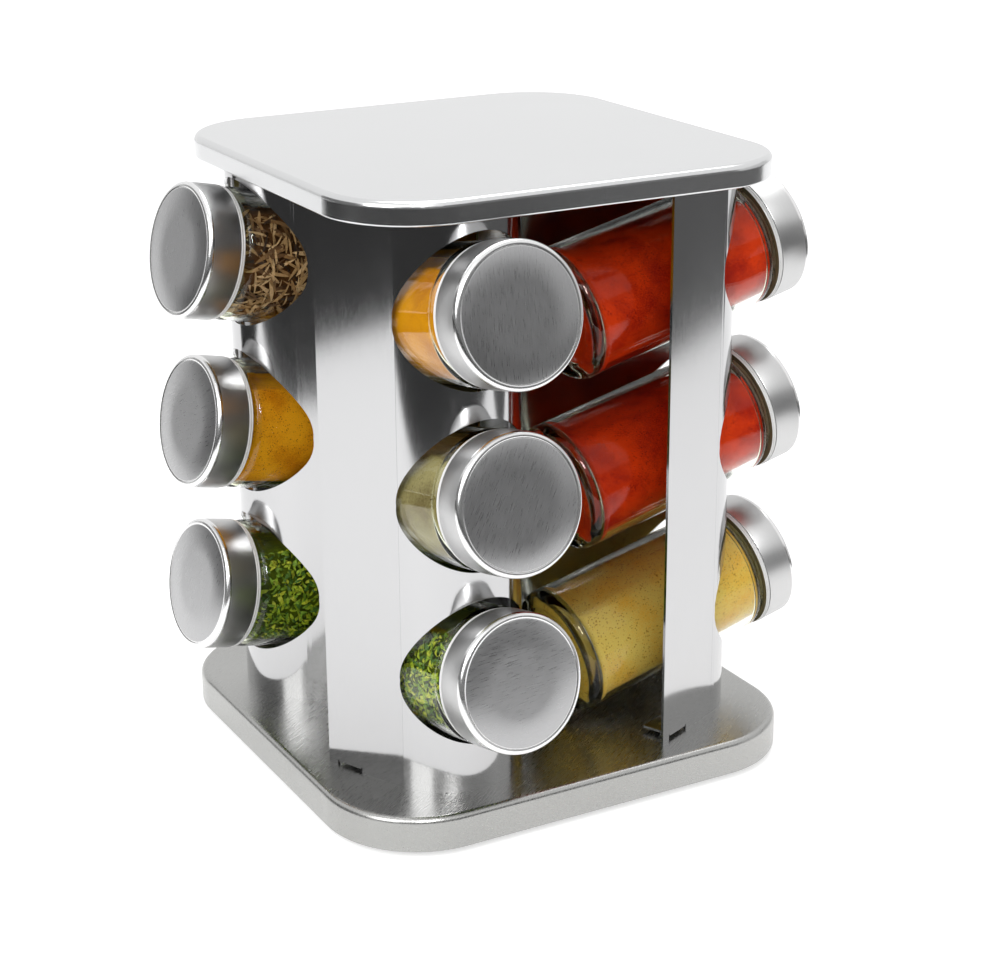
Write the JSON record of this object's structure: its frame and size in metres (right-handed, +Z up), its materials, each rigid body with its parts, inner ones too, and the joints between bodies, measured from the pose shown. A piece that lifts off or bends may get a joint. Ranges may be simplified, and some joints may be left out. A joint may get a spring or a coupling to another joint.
{
  "type": "rotating spice rack",
  "caption": "Square stainless steel spice rack that turns on a ball bearing foot, with four bent panels holding leaning glass jars that slide out, each closed by a round metal screw cap.",
  "frame": {"origin": "centre of the rack on the table surface, below the turning axis", "axes": "+Z up along the turning axis; +X and +Y square to the sides of the base plate. In the picture the near corner is at -X,-Y, and the front side faces -Y"},
  "size_m": [0.2186, 0.2186, 0.2357],
  "materials": {
    "plate_steel": "satin stainless sheet",
    "panel_steel": "satin to semi-bright stainless sheet",
    "cap_steel": "straight-brushed face with a polished bright edge",
    "foot_steel": "plain satin",
    "race_steel": "turned",
    "ball_steel": "polished",
    "screw_steel": "zinc plated",
    "foot_rubber": "matt",
    "liner_plastic": "smooth white",
    "jar_glass": "clear, faintly green",
    "spice_bark": "brown shredded bark and seeds",
    "spice_orange": "orange-yellow powder with dark specks",
    "spice_green": "dried green herb flakes",
    "spice_yellow": "yellow powder",
    "spice_beige": "greenish-beige powder",
    "spice_red": "red powder",
    "spice_mustard": "mustard-beige granules with dark specks"
  },
  "bodies": {
    "foot": {"foot_plate": "foot_steel", "foot_pads": "foot_rubber", "lower_race": "race_steel"},
    "balls": {"ball_ring": "ball_steel"},
    "rack": {"upper_race": "race_steel", "base_cover": "plate_steel", "panel_screws": "screw_steel", "top_cover": "plate_steel", "panel_front": "panel_steel", "panel_right": "panel_steel", "panel_back": "panel_steel", "panel_left": "panel_steel"},
    "front_bottom_jar": {"jar_front_bottom": "jar_glass", "spice_front_bottom": "spice_green"},
    "front_bottom_cap": {"cap_front_bottom": "cap_steel", "liner_front_bottom": "liner_plastic"},
    "front_middle_jar": {"jar_front_middle": "jar_glass", "spice_front_middle": "spice_beige"},
    "front_middle_cap": {"cap_front_middle": "cap_steel", "liner_front_middle": "liner_plastic"},
    "front_top_jar": {"jar_front_top": "jar_glass", "spice_front_top": "spice_yellow"},
    "front_top_cap": {"cap_front_top": "cap_steel", "liner_front_top": "liner_plastic"},
    "right_bottom_jar": {"jar_right_bottom": "jar_glass", "spice_right_bottom": "spice_mustard"},
    "right_bottom_cap": {"cap_right_bottom": "cap_steel", "liner_right_bottom": "liner_plastic"},
    "right_middle_jar": {"jar_right_middle": "jar_glass", "spice_right_middle": "spice_red"},
    "right_middle_cap": {"cap_right_middle": "cap_steel", "liner_right_middle": "liner_plastic"},
    "right_top_jar": {"jar_right_top": "jar_glass", "spice_right_top": "spice_red"},
    "right_top_cap": {"cap_right_top": "cap_steel", "liner_right_top": "liner_plastic"},
    "back_bottom_jar": {"jar_back_bottom": "jar_glass", "spice_back_bottom": "spice_yellow"},
    "back_bottom_cap": {"cap_back_bottom": "cap_steel", "liner_back_bottom": "liner_plastic"},
    "back_middle_jar": {"jar_back_middle": "jar_glass", "spice_back_middle": "spice_bark"},
    "back_middle_cap": {"cap_back_middle": "cap_steel", "liner_back_middle": "liner_plastic"},
    "back_top_jar": {"jar_back_top": "jar_glass", "spice_back_top": "spice_beige"},
    "back_top_cap": {"cap_back_top": "cap_steel", "liner_back_top": "liner_plastic"},
    "left_bottom_jar": {"jar_left_bottom": "jar_glass", "spice_left_bottom": "spice_green"},
    "left_bottom_cap": {"cap_left_bottom": "cap_steel", "liner_left_bottom": "liner_plastic"},
    "left_middle_jar": {"jar_left_middle": "jar_glass", "spice_left_middle": "spice_orange"},
    "left_middle_cap": {"cap_left_middle": "cap_steel", "liner_left_middle": "liner_plastic"},
    "left_top_jar": {"jar_left_top": "jar_glass", "spice_left_top": "spice_bark"},
    "left_top_cap": {"cap_left_top": "cap_steel", "liner_left_top": "liner_plastic"}
  },
  "joints": [
    {"name": "rack_spin", "type": "hinge", "parent": "foot", "child": "rack", "pos_m": [0, 0, 0.009], "axis": [0, 0, 1], "continuous": true},
    {"name": "ball_ring_roll", "type": "hinge", "parent": "foot", "child": "balls", "pos_m": [0, 0, 0.009], "axis": [0, 0, 1], "continuous": true},
    {"name": "front_bottom_slide", "type": "slide", "parent": "rack", "child": "front_bottom_jar", "axis": [0.0682, -0.9758, 0.2079], "range_m": [0, 0.1]},
    {"name": "front_bottom_cap_turn", "type": "hinge", "parent": "front_bottom_jar", "child": "front_bottom_cap", "pos_m": [-0.04035, -0.09676, 0.06404], "axis": [0.0682, -0.9758, 0.2079], "range_deg": [0, 360]},
    {"name": "front_middle_slide", "type": "slide", "parent": "rack", "child": "front_middle_jar", "axis": [0.0682, -0.9758, 0.2079], "range_m": [0, 0.1]},
    {"name": "front_middle_cap_turn", "type": "hinge", "parent": "front_middle_jar", "child": "front_middle_cap", "pos_m": [-0.04035, -0.09676, 0.13046], "axis": [0.0682, -0.9758, 0.2079], "range_deg": [0, 360]},
    {"name": "front_top_slide", "type": "slide", "parent": "rack", "child": "front_top_jar", "axis": [0.0682, -0.9758, 0.2079], "range_m": [0, 0.1]},
    {"name": "front_top_cap_turn", "type": "hinge", "parent": "front_top_jar", "child": "front_top_cap", "pos_m": [-0.04035, -0.09676, 0.19688], "axis": [0.0682, -0.9758, 0.2079], "range_deg": [0, 360]},
    {"name": "right_bottom_slide", "type": "slide", "parent": "rack", "child": "right_bottom_jar", "axis": [0.9758, 0.0682, 0.2079], "range_m": [0, 0.1]},
    {"name": "right_bottom_cap_turn", "type": "hinge", "parent": "right_bottom_jar", "child": "right_bottom_cap", "pos_m": [0.09676, -0.04035, 0.06404], "axis": [0.9758, 0.0682, 0.2079], "range_deg": [0, 360]},
    {"name": "right_middle_slide", "type": "slide", "parent": "rack", "child": "right_middle_jar", "axis": [0.9758, 0.0682, 0.2079], "range_m": [0, 0.1]},
    {"name": "right_middle_cap_turn", "type": "hinge", "parent": "right_middle_jar", "child": "right_middle_cap", "pos_m": [0.09676, -0.04035, 0.13046], "axis": [0.9758, 0.0682, 0.2079], "range_deg": [0, 360]},
    {"name": "right_top_slide", "type": "slide", "parent": "rack", "child": "right_top_jar", "axis": [0.9758, 0.0682, 0.2079], "range_m": [0, 0.1]},
    {"name": "right_top_cap_turn", "type": "hinge", "parent": "right_top_jar", "child": "right_top_cap", "pos_m": [0.09676, -0.04035, 0.19688], "axis": [0.9758, 0.0682, 0.2079], "range_deg": [0, 360]},
    {"name": "back_bottom_slide", "type": "slide", "parent": "rack", "child": "back_bottom_jar", "axis": [-0.0682, 0.9758, 0.2079], "range_m": [0, 0.1]},
    {"name": "back_bottom_cap_turn", "type": "hinge", "parent": "back_bottom_jar", "child": "back_bottom_cap", "pos_m": [0.04035, 0.09676, 0.06404], "axis": [-0.0682, 0.9758, 0.2079], "range_deg": [0, 360]},
    {"name": "back_middle_slide", "type": "slide", "parent": "rack", "child": "back_middle_jar", "axis": [-0.0682, 0.9758, 0.2079], "range_m": [0, 0.1]},
    {"name": "back_middle_cap_turn", "type": "hinge", "parent": "back_middle_jar", "child": "back_middle_cap", "pos_m": [0.04035, 0.09676, 0.13046], "axis": [-0.0682, 0.9758, 0.2079], "range_deg": [0, 360]},
    {"name": "back_top_slide", "type": "slide", "parent": "rack", "child": "back_top_jar", "axis": [-0.0682, 0.9758, 0.2079], "range_m": [0, 0.1]},
    {"name": "back_top_cap_turn", "type": "hinge", "parent": "back_top_jar", "child": "back_top_cap", "pos_m": [0.04035, 0.09676, 0.19688], "axis": [-0.0682, 0.9758, 0.2079], "range_deg": [0, 360]},
    {"name": "left_bottom_slide", "type": "slide", "parent": "rack", "child": "left_bottom_jar", "axis": [-0.9758, -0.0682, 0.2079], "range_m": [0, 0.1]},
    {"name": "left_bottom_cap_turn", "type": "hinge", "parent": "left_bottom_jar", "child": "left_bottom_cap", "pos_m": [-0.09676, 0.04035, 0.06404], "axis": [-0.9758, -0.0682, 0.2079], "range_deg": [0, 360]},
    {"name": "left_middle_slide", "type": "slide", "parent": "rack", "child": "left_middle_jar", "axis": [-0.9758, -0.0682, 0.2079], "range_m": [0, 0.1]},
    {"name": "left_middle_cap_turn", "type": "hinge", "parent": "left_middle_jar", "child": "left_middle_cap", "pos_m": [-0.09676, 0.04035, 0.13046], "axis": [-0.9758, -0.0682, 0.2079], "range_deg": [0, 360]},
    {"name": "left_top_slide", "type": "slide", "parent": "rack", "child": "left_top_jar", "axis": [-0.9758, -0.0682, 0.2079], "range_m": [0, 0.1]},
    {"name": "left_top_cap_turn", "type": "hinge", "parent": "left_top_jar", "child": "left_top_cap", "pos_m": [-0.09676, 0.04035, 0.19688], "axis": [-0.9758, -0.0682, 0.2079], "range_deg": [0, 360]}
  ],
  "couplings": [
    {"joint": "ball_ring_roll", "follows": "rack_spin", "ratio": 0.5}
  ]
}
